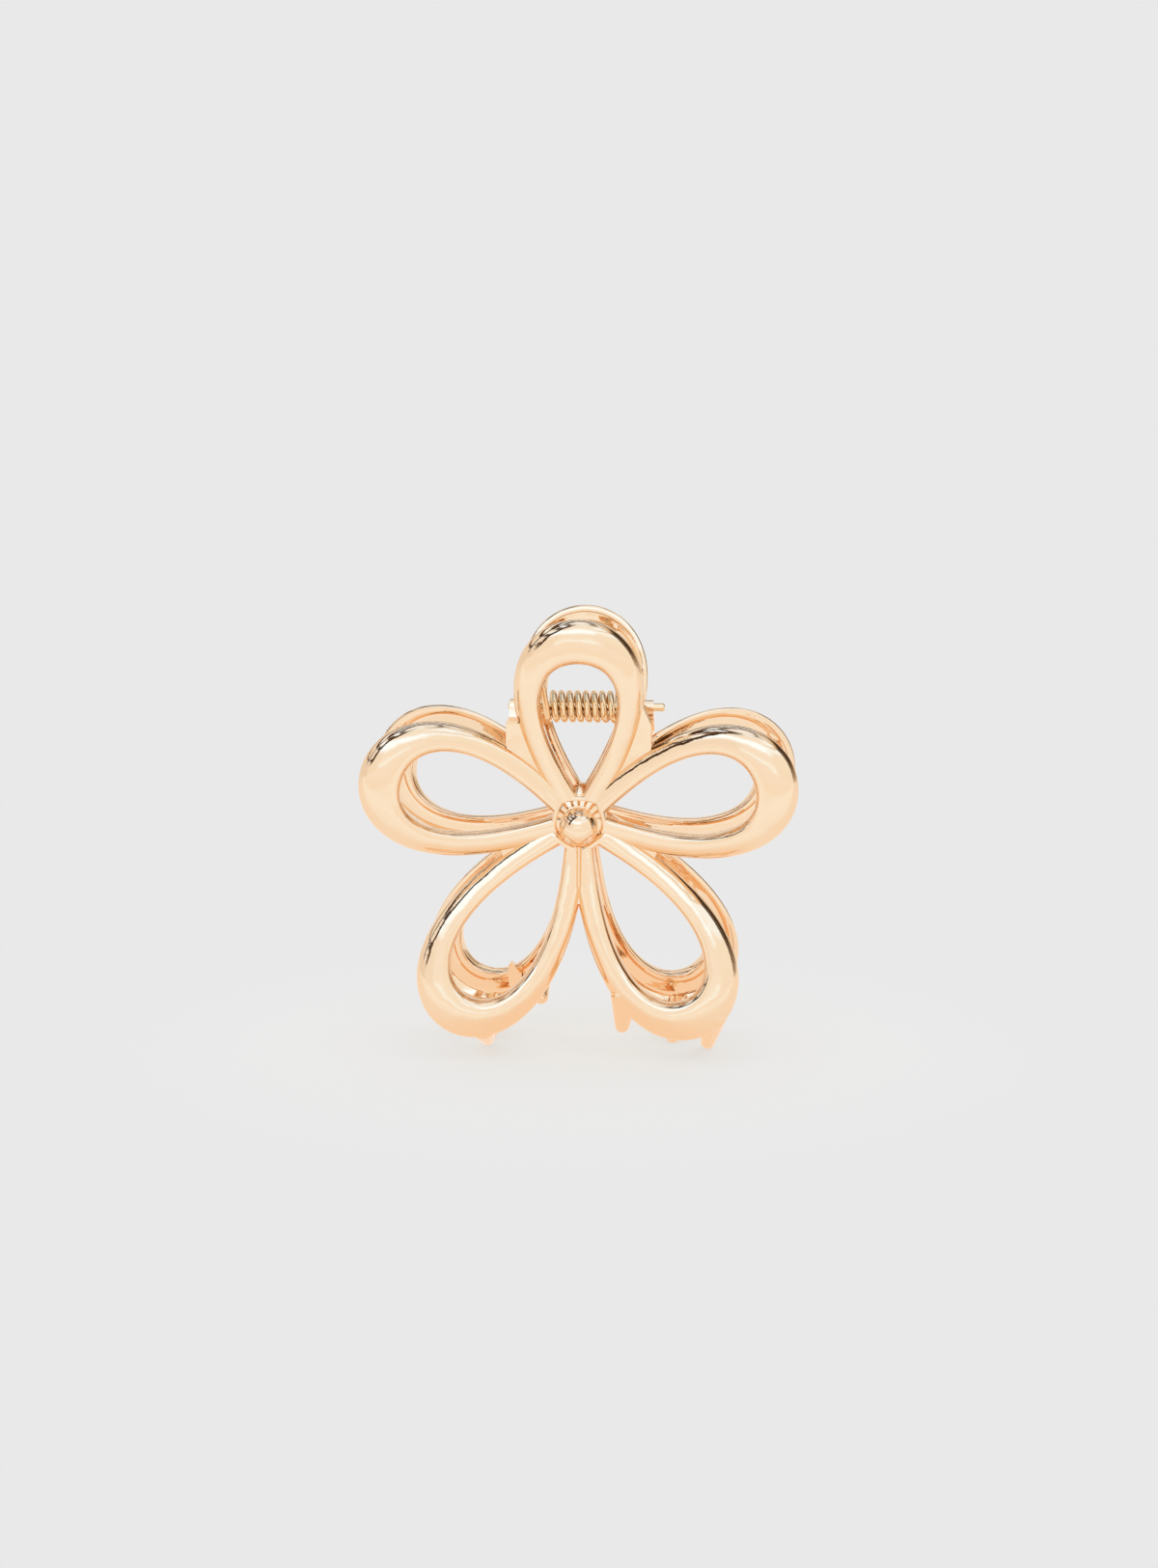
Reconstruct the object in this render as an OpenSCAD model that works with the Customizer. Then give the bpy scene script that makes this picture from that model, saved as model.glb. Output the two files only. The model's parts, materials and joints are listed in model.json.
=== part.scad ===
// Flower claw hair clip: two cast flower halves, a hinge pin and a torsion spring.
// X runs along the hinge pin, Y from the front half (minus) to the back half (plus), Z up.
// The origin is on the surface the closed clip stands on, under its middle. Millimetres.

/* [Flower] */
// Overall width across the side petals
flower_w = 58.6; // [54:0.2:64]
// Height of the flower's hub above the surface
hub_z = 32.2; // [30:0.1:36]
// Length of the top petal, from the hub to the middle of its band
top_len = 25; // [22:0.1:30]
// Length of each side petal
side_len = 27.3; // [24:0.1:32]
// Length of each lower petal
low_len = 30.6; // [28:0.1:33]
// Half width of the top petal, to the middle of its band
top_half_w = 6.95; // [5.5:0.05:7.5]
// Half width of each side petal
side_half_w = 7.25; // [6:0.05:7.8]
// Half width of each lower petal
low_half_w = 7.1; // [6:0.05:7.8]
// Angle of the side petals above level, in degrees
side_angle = 13.7; // [12:0.1:20]
// Angle of the lower petals below level, in degrees
low_angle = 57.1; // [50:0.1:60]

/* [Band] */
// Width of a petal's band beside the hub
band_hub_w = 3.2; // [2:0.1:3.6]
// Width of the band at the tip of a side or lower petal
band_tip_w = 5.4; // [4:0.1:6]
// Width of the band at the tip of the top petal
top_tip_w = 5.6; // [4:0.1:6.5]
// Height of the domed band beside the hub
band_hub_h = 1.9; // [1.4:0.1:2.4]
// Height of the domed band at its tip
band_tip_h = 3.3; // [2.5:0.1:4]
// Depth of the channel in the back of a band, at the petal's tip
channel = 1; // [0.4:0.1:1.4]
// Width of the blunt point at the inner end of a petal's hole
hole_point_w = 1; // [0.8:0.1:2]

/* [Dish] */
// Distance from the clip's middle plane to the back of the hub
hub_stand = 4.6; // [3.6:0.1:6]
// How far a petal flares outward over the dish radius
flare = 4.6; // [1:0.1:6]
// How far the flower leans, top outward and bottom inward, over the dish radius
lean = 1.05; // [0:0.05:3]
// Radius at which the flare and the lean are measured
dish_r = 28; // [24:1:32]

/* [Hub] */
// Diameter of the collar that the bands run into
collar_d = 7.6; // [6:0.1:8.4]
// Diameter of the collar's sloped shoulder at its top, round the ball
collar_top_d = 4.6; // [4:0.1:6]
// Height of the collar's straight side above the back of the hub
collar_h = 1.8; // [1.4:0.1:2.6]
// Height of the sloped shoulder above the straight side
shoulder_h = 0.9; // [0.4:0.1:1.4]
// Diameter of the ball on the collar
ball_d = 4.9; // [3.6:0.1:5.4]
// Height of the ball's middle above the shoulder
ball_rise = 0.3; // [0:0.1:1]
// How far the hub's middle lies below the point where the petals meet
hub_drop = 0.5; // [0:0.1:1]

/* [Teeth] */
// Diameter of a tooth where it leaves the band
tooth_root_d = 3.2; // [2.2:0.1:3.6]
// Diameter of a tooth's round tip
tooth_tip_d = 2; // [1.4:0.1:2.4]
// Distance of the tooth tips from the clip's middle plane
tooth_stand = 1.6; // [1.3:0.05:2.5]
// Height of the front half's inner tooth tip above the surface
front_short_lift = 2.1; // [1:0.1:6]
// Height of the back half's inner tooth tip above the surface
back_short_lift = 5.2; // [1:0.1:7]
// Diameter of the small rib tooth inside the back half
rib_d = 1.5; // [1:0.1:2]
// Height of the rib tooth's top above the surface
rib_top = 10; // [9:0.1:13]
// Height of the rib tooth's foot above the surface
rib_foot = 5; // [4:0.1:7]

/* [Hinge] */
// Height of the pin's axis above the surface
pin_z = 47; // [45:0.1:49]
// Diameter of the pin
pin_d = 1.1; // [0.9:0.05:1.4]
// Chamfer at the pin's ends
pin_chamfer = 0.2; // [0.1:0.05:0.3]
// Running clearance round the pin, on the radius
pin_fit = 0.05; // [0.02:0.01:0.1]
// How far the pin stands out of the lugs on the left
pin_out_left = 0.2; // [0.1:0.1:1]
// How far the pin stands out of the lugs on the right
pin_out_right = 1.5; // [0.5:0.1:2.5]
// Thickness of the outer lug of each half
outer_lug_t = 2.1; // [1.4:0.1:2.4]
// Thickness of the inner lug of each half
inner_lug_t = 2.4; // [1.8:0.1:2.6]
// Side gap between neighbouring lugs, and between lug and spring
lug_gap = 0.2; // [0.1:0.05:0.4]
// Diameter of the round eye of a lug
eye_d = 2.4; // [2.2:0.1:4]
// Depth of a lug's foot along its web
lug_foot = 3.4; // [2:0.1:4]

/* [Webs] */
// Thickness of the webs in the forks between petals
web_t = 1; // [0.8:0.1:2]
// Step from the back of a band to the back of a web
web_inset = 0.2; // [0.1:0.05:0.4]
// Distance from the hub to the bottom of a fork
fork_r = 11.4; // [9:0.1:13]
// Drop from the pin's axis to the top edge of the upper webs
web_drop = 0.6; // [0.3:0.1:3]

/* [Spring] */
// Diameter of the spring's wire
wire_d = 0.65; // [0.5:0.05:0.7]
// Outer diameter of the spring's coil
coil_d = 4.2; // [3.6:0.1:4.8]
// Whole turns of the coil
turns = 8; // [5:1:8]
// Length of the coil between the middles of its end turns
coil_len = 9.1; // [9:0.1:9.8]
// Length of the bent end of a leg
leg_end = 1.4; // [1.1:0.1:2]
// Gap between a leg's end and the lever that it pushes
leg_gap = 0.05; // [0.02:0.01:0.1]

/* [Hidden] */
metal = "#F3CFAE";
dark_metal = "#D9A878";

// Angles of the petals round the hub, from level right
top_angle = 90;
right_angle = side_angle;
low_right_angle = -low_angle;
low_left_angle = low_angle - 180;

// Each petal: direction, length, half width and the band's width at its tip
TOP = [top_angle, top_len, top_half_w, top_tip_w];
RIGHT = [right_angle, side_len, side_half_w, band_tip_w];
LOW_RIGHT = [low_right_angle, low_len, low_half_w, band_tip_w];
LOW_LEFT = [low_left_angle, low_len, low_half_w, band_tip_w];

// How full the loop of a petal is: a larger power is slimmer beside the hub
loop_power = 1.15;
widen_power = 4.5;
rise_power = 1.5;
// How full the domed section is: 1 is a half ellipse
dome_power = 0.85;
// How far the dome's crest lies toward the hole, as a share of the band's half width
crest_share = 0.35;
// Places of the channel's edges, as shares of the band's half width
channel_lip_share = 0.65;
channel_floor_share = 0.32;

loop_steps = 38;
dome_steps = 6;
// Points of the section: the dome's, then the channel's four
section_points = dome_steps + 5;
round_fn = 48;
hub_fn = 28;
tooth_fn = 20;
wire_sides = 6;
rings_a_turn = 8;
// Stations tried along a petal, in degrees, where a place on its band is looked for
first_try = 20;
last_try = 175;
try_step = 0.5;

// The slope is taken no nearer to the hub's middle than this share of the dish radius
near_hub_share = 0.001;

// Turns a point of a petal's own plane (along, across) into the flower's plane
function turned(p, angle) = [p.x * cos(angle) - p.y * sin(angle), p.x * sin(angle) + p.y * cos(angle)];

// Distance of the flower's back face from the middle plane at a point of its plane
function stand_at(p) =
    let (r = norm(p)) hub_stand + (flare * r + lean * p.y) * r / (dish_r * dish_r);

// Slopes of that face across and up
function slope_at(p) =
    let (r = max(norm(p), near_hub_share * dish_r))
    [2 * flare * p.x + lean * p.x * p.y / r, 2 * flare * p.y + lean * (r + p.y * p.y / r)]
    / (dish_r * dish_r);

// Point of the front half over the point p of its plane, v out from its back face
function over(p, v) =
    let (s = slope_at(p), n = sqrt(1 + s * s))
    [p.x - v * s.x / n, -stand_at(p) - v / n, hub_z + p.y - v * s.y / n];

// Middle line of a petal's band at the station t, 0 to 360 degrees
loop_top_share = (1 + loop_power) / (2 + loop_power);
loop_peak = 2 * pow(loop_top_share, (loop_power + 1) / 2) * sqrt(1 - loop_top_share);
function mid_along(petal, t) = petal[1] * (1 - cos(t)) / 2;
function mid_across(petal, t) = petal[2] * sin(t) * pow(sin(t / 2), loop_power) / loop_peak;
function mid_dir(petal, t) =
    let (s = sin(t / 2), a = petal[1] * sin(t) / 2,
         w = petal[2] / loop_peak * (cos(t) * pow(s, loop_power)
             + sin(t) * cos(t / 2) * pow(s, loop_power - 1) * loop_power / 2))
    [a, w] / norm([a, w]);

function band_half(petal, t) =
    (band_hub_w + (petal[3] - band_hub_w) * pow(mid_along(petal, t) / petal[1], widen_power)) / 2;
function band_high(petal, t) =
    band_hub_h + (band_tip_h - band_hub_h) * pow(mid_along(petal, t) / petal[1], rise_power);

// Point of the petal's plane at the station t, u from -1 at the hole to 1 at the outer edge
function band_at(petal, t, u) =
    let (d = mid_dir(petal, t), b = u * band_half(petal, t))
    [mid_along(petal, t) - b * d.y, mid_across(petal, t) + b * d.x];

// Section of the band: the dome from the outer to the inner edge, then the channel's four corners
function section(petal, t) =
    let (h = band_high(petal, t), c = channel * mid_along(petal, t) / petal[1])
    concat([for (j = [0:dome_steps]) let (q = 180 * j / dome_steps)
               [cos(q) - crest_share * pow(sin(q), 2), h * pow(max(0, sin(q)), dome_power)]],
           [[-channel_lip_share, 0], [-channel_floor_share, c],
            [channel_floor_share, c], [channel_lip_share, 0]]);

// First station of the band, where the point of the hole has its width
function first_station(petal) =
    [for (t = [first_try:try_step:last_try]) if (band_at(petal, t, -1).y > hole_point_w / 2) t][0];

// Faces, as triangles, between rings of n points that follow each other, closed if it is a loop
function ring_faces(rings, n, closed) =
    [for (i = [0:rings - (closed ? 1 : 2)], j = [0:n - 1])
        let (a = i * n + j, b = i * n + (j + 1) % n,
             c = ((i + 1) % rings) * n + j, d = ((i + 1) % rings) * n + (j + 1) % n)
        each [[a, c, b], [b, c, d]]];

module petal(petal) {
    t0 = first_station(petal);
    points = [for (i = [0:loop_steps - 1])
        let (t = t0 + (360 - 2 * t0) * i / (loop_steps - 1))
        for (s = section(petal, t)) over(turned(band_at(petal, t, s.x), petal[0]), s.y)];
    polyhedron(points, ring_faces(loop_steps, section_points, true));
}

// Places along the pin: spring, inner lug, outer lug, each followed by the side gap
inner_lug_x = coil_len / 2 + wire_d / 2 + lug_gap;
outer_lug_x = inner_lug_x + inner_lug_t + lug_gap;
plate_x = outer_lug_x + outer_lug_t;
// Top edge of the upper webs, above the hub
web_top = pin_z - web_drop - hub_z;

// Point of the flower's plane in the middle of a petal's band
function on_band(petal, t) = turned(band_at(petal, t, 0), petal[0]);
// Station of a petal's band that lies a given way along it
function station_along(petal, along) = acos(1 - 2 * along / petal[1]);
// First station of a petal's band that reaches a given way to the right
function station_right(petal, x) =
    [for (t = [first_try:try_step:last_try]) if (on_band(petal, t).x > x) t][0];

// A thin plate that follows the flower's dish, drawn as a fan from its first point
module dished_plate(outline) {
    n = len(outline);
    points = [for (v = [web_inset, web_inset + web_t]) for (p = outline) over(p, v)];
    polyhedron(points, concat(
        [for (k = [1:n - 2]) [0, k, k + 1]],
        [for (k = [1:n - 2]) [n, n + k + 1, n + k]],
        [for (k = [0:n - 1]) let (q = (k + 1) % n) each [[k, n + k, q], [q, n + k, n + q]]]));
}

// Stations where the webs end on the bands: on the way out, and on the way back
web_station = 72;
web_station_back = 360 - web_station;

module fork_web(petal_a, t_a, petal_b, t_b) {
    bisector = (petal_a[0] + petal_b[0]) / 2;
    dished_plate([[0, 0], on_band(petal_a, t_a), turned([fork_r, 0], bisector), on_band(petal_b, t_b)]);
}

// Upper web: it fills the fork between the top and a side petal, and carries the lugs
module lug_web() {
    dished_plate([[0, 0], on_band(RIGHT, station_right(RIGHT, plate_x)), [plate_x, web_top],
                  on_band(TOP, 360 - station_along(TOP, web_top))]);
}

module hub() {
    translate([0, 0, hub_z - hub_drop]) rotate([90, 0, 0]) translate([0, 0, hub_stand]) {
        rotate_extrude() polygon([[0, 0], [collar_d / 2, 0], [collar_d / 2, collar_h],
                                  [collar_top_d / 2, collar_h + shoulder_h], [0, collar_h + shoulder_h]]);
        translate([0, 0, collar_h + shoulder_h + ball_rise]) sphere(d = ball_d);
    }
}

// Stations of the teeth on a lower petal, from just outside its tip, at 180 degrees, to its inner arm
tip_station = 172;
foot_station = 203;
inner_station = 240;
rib_station = 223;
// Places of the tooth roots across the band, as shares of its half width
root_share = 0.35;
front_inner_share = 0.3;
back_inner_share = 0.7;
// Height of a tooth's root in the band, as a share of the band's height
root_height_share = 0.4;
// Sideways lean of the two teeth on the front half's right petal, in root diameters
inner_lean_share = -0.15;
tip_lean_share = 0.05;

// Tooth on a lower petal: side is 1 for right or -1 for left, t and u its root's place on
// the band, lift its tip's height, and lean its sideways lean in root diameters
module tooth(side, t, u, lift, lean) {
    root_place = turned(band_at(LOW_RIGHT, t, u), low_right_angle);
    root = over(root_place, root_height_share * band_high(LOW_RIGHT, t));
    tip = [root.x + lean * tooth_root_d, -tooth_stand, lift + tooth_tip_d / 2];
    mirror([side < 0 ? 1 : 0, 0, 0]) hull() {
        translate(root) sphere(d = tooth_root_d, $fn = tooth_fn);
        translate(tip) sphere(d = tooth_tip_d, $fn = tooth_fn);
    }
}

// Rib tooth that stands up inside a lower petal of the back half
module rib_tooth() {
    p = over(on_band(LOW_RIGHT, rib_station), 0);
    hull() for (z = [rib_foot + rib_d / 2, rib_top - rib_d / 2])
        translate([p.x, p.y, z]) sphere(d = rib_d, $fn = tooth_fn);
}

// One flower of the clip in front, without its lugs and teeth
module flower() {
    petal(TOP);
    for (m = [0, 1]) mirror([m, 0, 0]) {
        petal(RIGHT);
        petal(LOW_RIGHT);
        fork_web(LOW_RIGHT, web_station, RIGHT, web_station_back);
        lug_web();
    }
    fork_web(LOW_LEFT, web_station, LOW_RIGHT, web_station_back);
    hub($fn = hub_fn);
}

// Lug from x0 outward: an ear from the web to an eye round the pin
module lug(x0, thick) {
    foot_y = stand_at([x0, web_top]) + web_inset + web_t / 2;
    over_all = thick + 2 * lug_gap;
    translate([x0, 0, 0]) difference() {
        rotate([90, 0, 90]) linear_extrude(thick) {
            translate([0, pin_z]) circle(d = eye_d, $fn = round_fn);
            polygon([[0, pin_z + eye_d / 2], [-foot_y, hub_z + web_top],
                     [-foot_y, hub_z + web_top - lug_foot], [0, pin_z - eye_d / 2]]);
        }
        translate([-lug_gap, 0, pin_z]) rotate([0, 90, 0])
            cylinder(d = pin_d + 2 * pin_fit, h = over_all, $fn = round_fn);
    }
}

// The outer lug is on the left of its own half, the inner lug on the right
module lugs() {
    lug(-plate_x, outer_lug_t);
    lug(inner_lug_x, inner_lug_t);
}

module front_flower() {
    color(metal) {
        resize([flower_w, 0, 0]) {
            flower();
            tooth(-1, foot_station, root_share, 0, 0);
            tooth(1, inner_station, front_inner_share, front_short_lift, inner_lean_share);
            tooth(1, tip_station, root_share, 0, tip_lean_share);
        }
        lugs();
    }
}

module back_flower() {
    color(dark_metal) rotate([0, 0, 180]) {
        resize([flower_w, 0, 0]) {
            flower();
            tooth(-1, foot_station, root_share, 0, 0);
            tooth(1, foot_station, root_share, 0, 0);
            tooth(1, inner_station, back_inner_share, back_short_lift, 0);
            rib_tooth();
        }
        lugs();
    }
}

// Plain pin with chamfered ends
module hinge_pin() {
    x0 = -plate_x - pin_out_left;
    x1 = plate_x + pin_out_right;
    color(metal) translate([0, 0, pin_z]) rotate([0, 90, 0]) rotate_extrude($fn = round_fn)
        polygon([[0, x0], [pin_d / 2 - pin_chamfer, x0], [pin_d / 2, x0 + pin_chamfer],
                 [pin_d / 2, x1 - pin_chamfer], [pin_d / 2 - pin_chamfer, x1], [0, x1]]);
}

// Where the left leg ends: on the inner lip of the top petal's band, behind the front lever
leg_station = 123;
leg_seat_share = -0.83;
leg_seat = turned(band_at(TOP, leg_station, leg_seat_share), top_angle);
leg_tip = over(leg_seat, -leg_gap);
leg_bend = over(leg_seat, -leg_gap - leg_end);
// The leg leaves the coil along its tangent, seen along the pin
coil_r = (coil_d - wire_d) / 2;
bend_from_pin = [leg_bend.y, leg_bend.z - pin_z];
leave_angle = atan2(bend_from_pin.y, bend_from_pin.x) + acos(coil_r / norm(bend_from_pin));
coil_turns = turns + ((180 - 2 * leave_angle) % 360 + 360) % 360 / 360;
coil_steps = round(coil_turns * rings_a_turn);
coil_start = [-coil_len / 2, coil_r * cos(leave_angle), pin_z + coil_r * sin(leave_angle)];
coil_path = [for (i = [0:coil_steps]) let (q = leave_angle + 360 * coil_turns * i / coil_steps)
    [coil_len * (i / coil_steps - 0.5), coil_r * cos(q), pin_z + coil_r * sin(q)]];
// The rounded bend of a leg, from its tip toward the coil
bend_steps = 4;
function unit(v) = v / norm(v);
bend_in = leg_bend + unit(leg_tip - leg_bend) * (leg_end - wire_d);
bend_out = leg_bend + unit(coil_start - leg_bend) * (leg_end - wire_d);
leg_path = concat([leg_tip], [for (i = [0:bend_steps]) let (k = i / bend_steps)
    (1 - k) * (1 - k) * bend_in + 2 * k * (1 - k) * leg_bend + k * k * bend_out]);
leg_count = len(leg_path);
spring_path = concat(leg_path, coil_path,
    [for (i = [leg_count - 1:-1:0]) [-leg_path[i].x, -leg_path[i].y, leg_path[i].z]]);

// Least gap between two stretches of the wire that lie at least half a turn apart
half_turn = rings_a_turn / 2;
least_gap = min([for (i = [0:len(spring_path) - 1]) for (j = [i + half_turn:1:len(spring_path) - 1])
    norm(spring_path[i] - spring_path[j])]) - wire_d;
echo(spring_least_gap_mm = least_gap);

// A tube of wire along a path, with a ring square to the path at each point
module tube(path, d, sides) {
    n = len(path);
    points = [for (i = [0:n - 1])
        let (t = unit(path[min(i + 1, n - 1)] - path[max(i - 1, 0)]),
             u = unit([1, 0, 0] - t.x * t), v = cross(t, u))
        for (k = [0:sides - 1]) path[i] + d / 2 * (cos(360 * k / sides) * u + sin(360 * k / sides) * v)];
    last = (n - 1) * sides;
    polyhedron(points, concat(
        ring_faces(n, sides, false),
        [for (k = [1:sides - 2]) [0, k, k + 1]],
        [for (k = [1:sides - 2]) [last, last + k + 1, last + k]]));
}

module torsion_spring() {
    color(metal) tube(spring_path, wire_d, wire_sides);
}

front_flower();
back_flower();
hinge_pin();
torsion_spring();
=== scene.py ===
"""Looks of a flower claw hair clip: two polished rose gold castings, their pin and spring."""
import json
import math
from collections import namedtuple

import bmesh
import bpy
import numpy as np
from mathutils import Matrix, Vector


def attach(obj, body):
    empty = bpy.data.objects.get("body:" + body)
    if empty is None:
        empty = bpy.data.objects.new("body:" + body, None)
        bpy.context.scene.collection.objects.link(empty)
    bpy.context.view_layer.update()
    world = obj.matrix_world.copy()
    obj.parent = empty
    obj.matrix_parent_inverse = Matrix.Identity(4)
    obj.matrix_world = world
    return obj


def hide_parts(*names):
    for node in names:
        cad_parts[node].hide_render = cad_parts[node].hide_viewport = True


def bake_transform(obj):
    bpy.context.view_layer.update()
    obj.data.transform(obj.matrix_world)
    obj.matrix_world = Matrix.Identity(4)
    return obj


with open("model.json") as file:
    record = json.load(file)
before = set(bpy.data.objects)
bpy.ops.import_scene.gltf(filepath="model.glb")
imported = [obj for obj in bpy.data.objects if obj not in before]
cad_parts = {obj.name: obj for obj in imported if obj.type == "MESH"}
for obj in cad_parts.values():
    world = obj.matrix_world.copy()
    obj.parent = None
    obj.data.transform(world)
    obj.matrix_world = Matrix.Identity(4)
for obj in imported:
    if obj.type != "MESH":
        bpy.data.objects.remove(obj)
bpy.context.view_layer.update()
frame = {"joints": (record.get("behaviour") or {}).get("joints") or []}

MM = 0.001

# The flower, in millimetres: across the side petals, and the hub's height
FLOWER_W = 58.6
HUB_Z = 32.2
SIDE_ANGLE = 13.7
LOW_ANGLE = 57.1
# The bands: width and height beside the hub and at a petal's tip
BAND_HUB_W = 3.2
BAND_TIP_W = 5.4
TOP_TIP_W = 5.6
BAND_HUB_H = 1.9
BAND_TIP_H = 3.3
CHANNEL = 1.0
HOLE_POINT_W = 0.6
# How full the loops and the domed section are
LOOP_POWER = 1.15
WIDEN_POWER = 4.5
RISE_POWER = 1.5
DOME_POWER = 0.85
CREST_SHARE = 0.35
CHANNEL_LIP_SHARE = 0.65
CHANNEL_FLOOR_SHARE = 0.32
# The dish: distance of the back of a half from the middle plane
HUB_STAND = 4.6
FLARE = 4.6
LEAN = 1.05
DISH_R = 28.0
# Nearest to the hub that the dish's slope is worked out
LEAST_R = DISH_R / 1000
# The hub: a collar with a fluted shoulder, and the ball on it
BALL_D = 5.2
BALL_H = 3.15
BALL_DROP = 0.5
# The collar's profile from its foot over the shoulder to the ball: radius, height, how fluted
COLLAR_PROFILE = ((3.3, 0.0, 0.0), (3.3, 1.5, 0.3), (3.25, 1.72, 1.0), (3.15, 1.85, 1.0), (2.95, 1.97, 1.0),
                  (2.65, 2.12, 1.0), (2.4, 2.25, 0.8), (2.2, 2.3, 0.0))
FLUTES = 18
FLUTE_DEPTH = 0.32
# How much nearer to the ball the collar lies below it
COLLAR_NARROWING = 0.12
FLUTE_W_SHARE = 0.4
# How deep the notches are level with the ball, and how fast they deepen above it
NOTCH_LEVEL = 0.2
NOTCH_RISE = 1.5
# The seat in the point of the top petal's hole: how far up it starts and ends, heights and radii
SEAT_FOOT = 3.5
SEAT_TIP = 4.2
SEAT_FOOT_V = 0.9
SEAT_TIP_V = 0.7
SEAT_FOOT_R = 0.8
SEAT_TIP_R = 0.6
# The webs in the forks between petals
WEB_T = 1.0
WEB_INSET = 0.2
FORK_R = 11.4
WEB_DROP = 1.2
WEB_STATION = math.radians(72)
# The groove between the two lower petals: its start, and its widths and heights at top and floor
GROOVE_NEAR_R = 1.5
GROOVE_TOP_W = 3.4
GROOVE_TOP_V = 3.0
GROOVE_FLOOR_W = 0.2
GROOVE_FLOOR_V = 1.46
# The teeth
BACK_ROOT_D = 2.4
ROOT_HEIGHT_SHARE = 0.15
TOOTH_TIP_D = 2.0
TOOTH_STAND = 1.6
# Each half's teeth: side, degrees round the lower petal, place across its band, height of the tip
# above the floor, lean of the tip to the right, and root width
FRONT_TEETH = ((-1, 203, 0.35, 0.0, 0.0, 4.0), (1, 240, 0.2, 2.1, -0.48, 3.8),
               (1, 172, 0.35, 0.0, -0.64, 4.0))
BACK_TEETH = ((-1, 203, 0.8, 0.0, 0.0, BACK_ROOT_D), (1, 203, 0.8, 0.0, 0.0, BACK_ROOT_D),
              (1, 240, 0.7, 5.2, 0.0, BACK_ROOT_D))
# The short tab inside the back half's right petal: degrees round the petal, depth and lean
RIB_STATION = 223
RIB_D = 1.5
RIB_LEAN = -0.2
# Its outline, from its band's middle and from the floor
RIB_OUTLINE = ((-0.9, 5.2), (0.9, 5.2), (1.15, 8.3), (1.0, 9.6), (0.75, 10.0), (0.4, 9.7), (-0.2, 8.9),
               (-0.7, 8.2))
# The hinge: pin, lugs and their running clearances
PIN_Z = frame["joints"][0]["pos_m"][2] / MM
PIN_D = 1.1
PIN_FIT = 0.05
PIN_ROUND = 0.25
PIN_OUT_LEFT = 0.2
PIN_OUT_RIGHT = 1.5
OUTER_LUG_T = 2.1
INNER_LUG_T = 2.4
LUG_GAP = 0.2
LUG_FOOT = 3.4
EYE_D = 2.4
# The outer ear is narrower and shorter than the solid's
EAR_EYE_D = 1.95
EAR_T = 1.6
# The rounded front of an ear, out from the pin and up from it, in radii of the eye
EAR_FRONT = ((-0.68, 0.92), (-0.9, 0.75), (-1.0, 0.45))
# its neck, out from the pin and up from it, and its way down to the web's top, up from there
EAR_NECK = (-1.35, -0.3)
EAR_HEEL = ((-1.8, -0.1), (-2.6, -0.05))
# The shoulder beside the right lug: how far it slopes inward, and how far it rises
SHOULDER_RUN = 1.3
SHOULDER_RISE = 2.8
# How far the drill for the pin's bores starts outside the lugs
BORE_OVER = 1.0
# The spring
WIRE_D = 0.65
PLATED_WIRE_D = 0.9
COIL_D = 4.2
TURNS = 8
COIL_LEN = 9.1
LEG_END = 1.4
LEG_GAP = 0.05
# Where a leg rests on the top petal: degrees round it, and place across its band
LEG_STATION = 123
LEG_PLACE = -0.83

# Radius of the round along a band's rear edges
EDGE_ROUND = 0.35

# Fineness of the meshes, and the angle left open at a ball's poles
HUB_STEPS = 252
COLLAR_STEPS = 22
BALL_STEPS = 34
CONE_STEPS = 16
CONE_SIDES = 32
GROOVE_STEPS = 24
PIN_SIDES = 48
PIN_ROUND_STEPS = 8
POLE_GAP = 0.02
LOOP_STEPS = 200
DOME_STEPS = 28
EDGE_STEPS = 4
BACK_STEPS = 10
PLATE_STEPS = 20
ROUND_STEPS = 96
# Points of a plate that agree to this many digits of a millimetre are one
SAME_DIGITS = 4
# The spring's path: points a radian of the coil, round the bend of a leg and along the leg
COIL_STEPS = 6
BEND_STEPS = 12
LEG_STEPS = 10
# Where stations are looked for along a band, in degrees: its hole's point, and under the plate's edge
STATION_STEP = 0.25
POINT_SEARCH = (20, 80)
EDGE_SEARCH = (20, 175)

Petal = namedtuple("Petal", "angle length half_w tip_w")
TOP = Petal(90, 25.0, 6.95, TOP_TIP_W)
RIGHT = Petal(SIDE_ANGLE, 27.3, 7.25, BAND_TIP_W)
LOW_RIGHT = Petal(-LOW_ANGLE, 30.6, 7.1, BAND_TIP_W)
LOW_LEFT = Petal(LOW_ANGLE - 180, 30.6, 7.1, BAND_TIP_W)
# Where a petal's loop is widest, which sets its half width
LOOP_TOP_SHARE = (1 + LOOP_POWER) / (2 + LOOP_POWER)
LOOP_PEAK = 2 * LOOP_TOP_SHARE ** ((LOOP_POWER + 1) / 2) * math.sqrt(1 - LOOP_TOP_SHARE)

INNER_LUG_X = COIL_LEN / 2 + WIRE_D / 2 + LUG_GAP
OUTER_LUG_X = INNER_LUG_X + INNER_LUG_T + LUG_GAP
PLATE_X = OUTER_LUG_X + OUTER_LUG_T
WEB_TOP = PIN_Z - WEB_DROP - HUB_Z


def turned(p, degrees):
    """Points of a petal's own plane (along, across), turned into the flower's plane."""
    c, s = math.cos(math.radians(degrees)), math.sin(math.radians(degrees))
    return np.stack([p[..., 0] * c - p[..., 1] * s, p[..., 0] * s + p[..., 1] * c], -1)


def stand_at(p):
    """Distance of the flower's back face from the middle plane."""
    r = np.hypot(p[..., 0], p[..., 1])
    return HUB_STAND + (FLARE * r + LEAN * p[..., 1]) * r / DISH_R ** 2


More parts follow.
